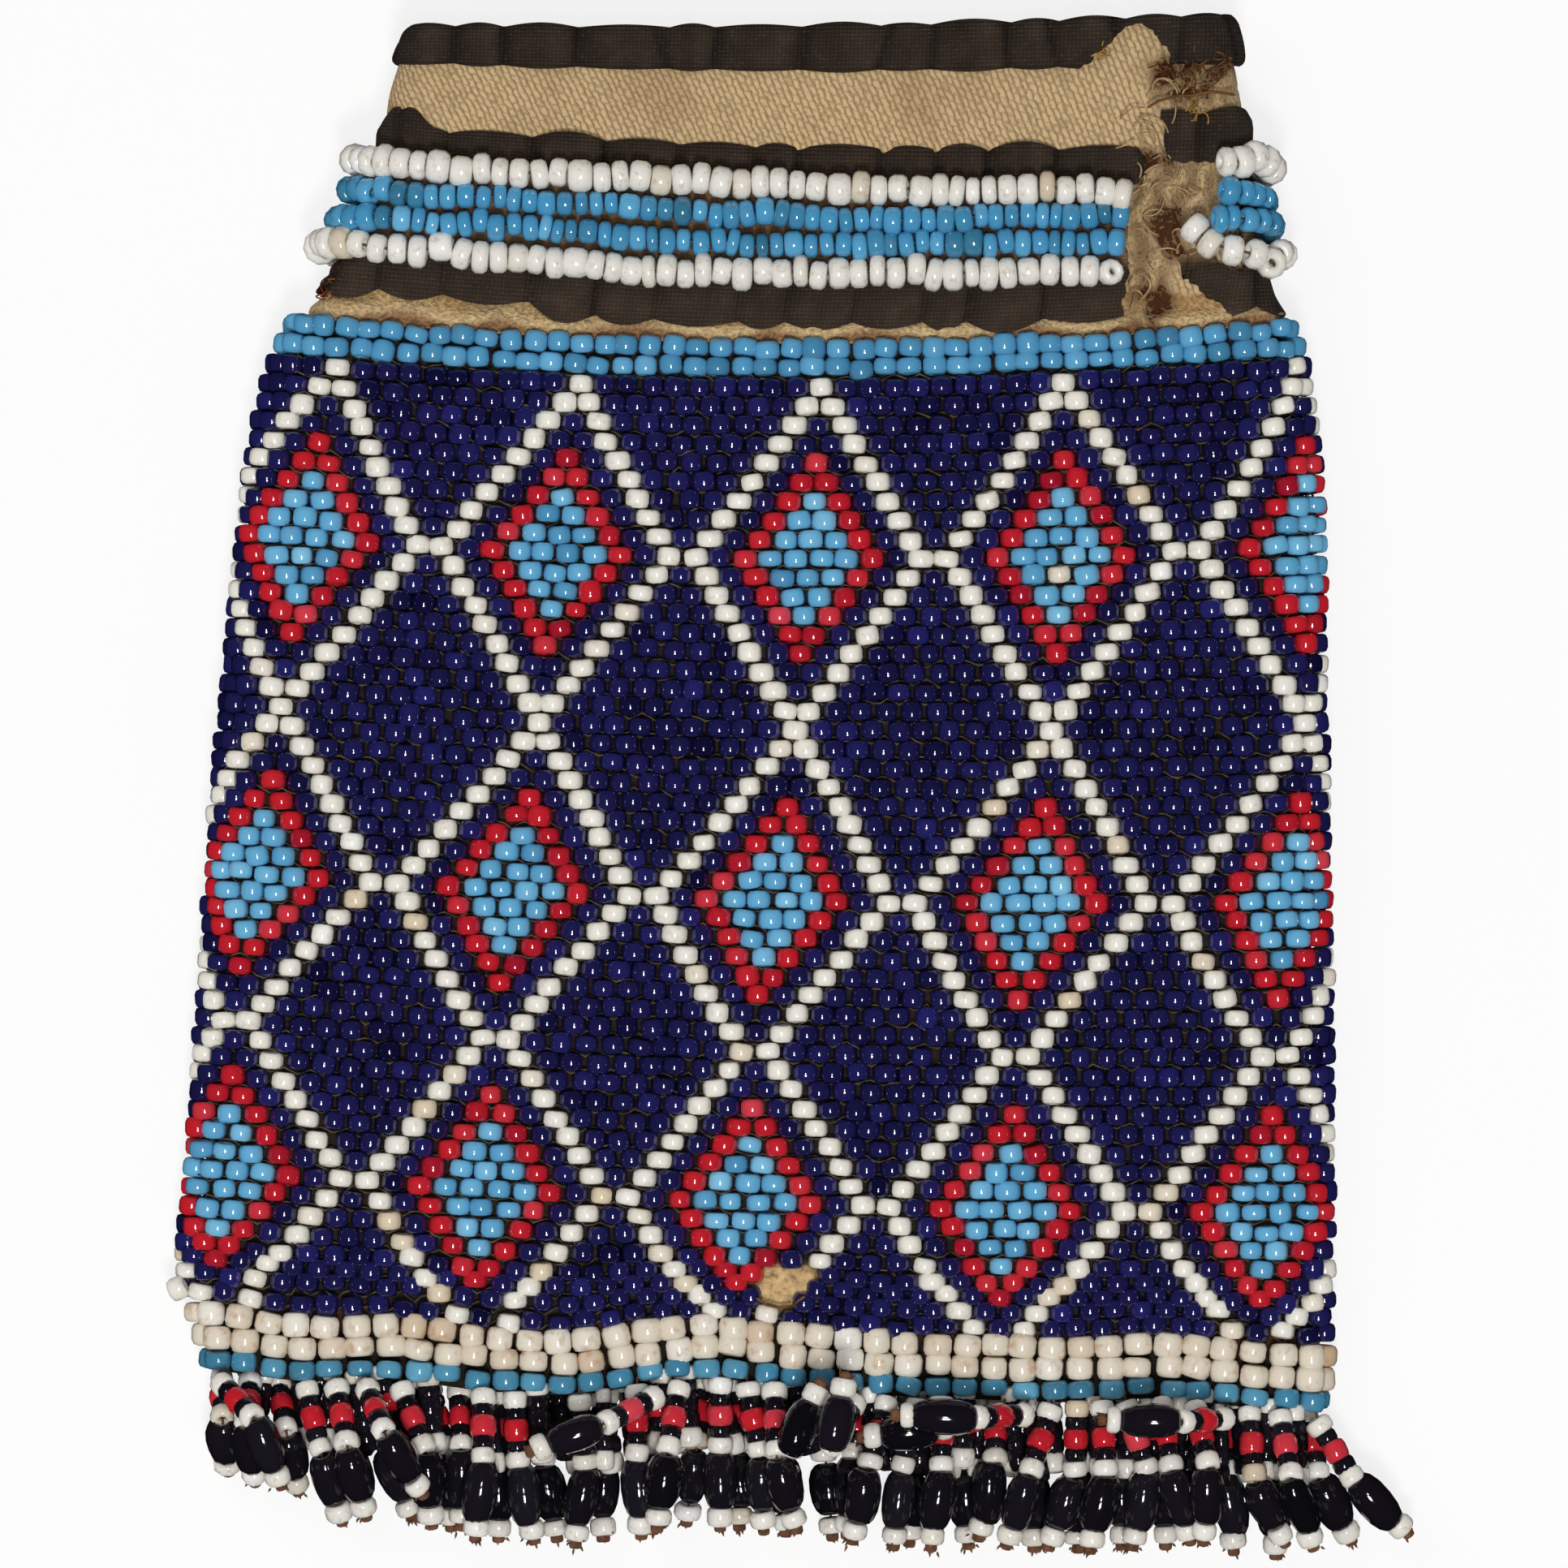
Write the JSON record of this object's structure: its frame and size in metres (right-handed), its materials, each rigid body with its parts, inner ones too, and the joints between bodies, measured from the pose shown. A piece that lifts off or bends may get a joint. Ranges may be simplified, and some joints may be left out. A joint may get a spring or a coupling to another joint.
{
  "type": "beaded tobacco bag",
  "caption": "Flat cloth bag: open canvas pouch, gathered dark neck with bead strings, navy bead sleeve with a white diamond lattice, and a hanging bead fringe.",
  "frame": {"origin": "on the flat back of the bead sleeve, half way along the bag", "axes": "+Y along the bag towards its mouth, +Z out of its front, +X to the right seen from the front"},
  "size_m": [0.1304, 0.1628, 0.0219],
  "materials": {
    "canvas": "coarse tan twill, stained",
    "dark_cotton": "dark brown cotton, gathered",
    "white_beads": "opaque cream glass, satin",
    "sky_beads": "opaque sky-blue glass, glossy",
    "navy_beads": "dark translucent cobalt glass, glossy",
    "stained_white_beads": "cream glass darkened by use",
    "black_beads": "black glass, glossy"
  },
  "bodies": {
    "root": {"bead_sleeve": "navy_beads", "bead_string_blue_lower": "sky_beads", "bead_string_blue_upper": "sky_beads", "bead_string_white_lower": "white_beads", "bead_string_white_upper": "white_beads", "canvas_pouch": "canvas", "fringe_strand_01": "black_beads", "fringe_strand_02": "black_beads", "fringe_strand_03": "black_beads", "fringe_strand_04": "black_beads", "fringe_strand_05": "black_beads", "fringe_strand_06": "black_beads", "fringe_strand_07": "black_beads", "fringe_strand_08": "black_beads", "fringe_strand_09": "black_beads", "fringe_strand_10": "black_beads", "fringe_strand_11": "black_beads", "fringe_strand_12": "black_beads", "fringe_strand_13": "black_beads", "fringe_strand_14": "black_beads", "fringe_strand_15": "black_beads", "fringe_strand_16": "black_beads", "fringe_strand_17": "black_beads", "fringe_strand_18": "black_beads", "fringe_strand_19": "black_beads", "fringe_strand_20": "black_beads", "fringe_strand_21": "black_beads", "fringe_strand_22": "black_beads", "fringe_strand_23": "black_beads", "fringe_strand_24": "black_beads", "fringe_strand_25": "black_beads", "fringe_strand_26": "black_beads", "fringe_strand_27": "black_beads", "fringe_strand_28": "black_beads", "fringe_strand_29": "black_beads", "fringe_strand_30": "black_beads", "fringe_strand_31": "black_beads", "fringe_strand_32": "black_beads", "fringe_strand_33": "black_beads", "fringe_strand_34": "black_beads", "fringe_strand_35": "black_beads", "fringe_strand_36": "black_beads", "fringe_strand_37": "black_beads", "fringe_strand_38": "black_beads", "fringe_strand_39": "black_beads", "fringe_strand_40": "black_beads", "fringe_strand_41": "black_beads", "fringe_strand_42": "black_beads", "fringe_strand_43": "black_beads", "fringe_strand_44": "black_beads", "fringe_strand_45": "black_beads", "fringe_strand_46": "black_beads", "fringe_strand_47": "black_beads", "header_rows": "sky_beads", "hem_row_blue": "sky_beads", "hem_rows_white": "stained_white_beads", "mouth_binding": "dark_cotton", "neck_band": "dark_cotton", "white_lattice": "white_beads"}
  },
  "joints": []
}
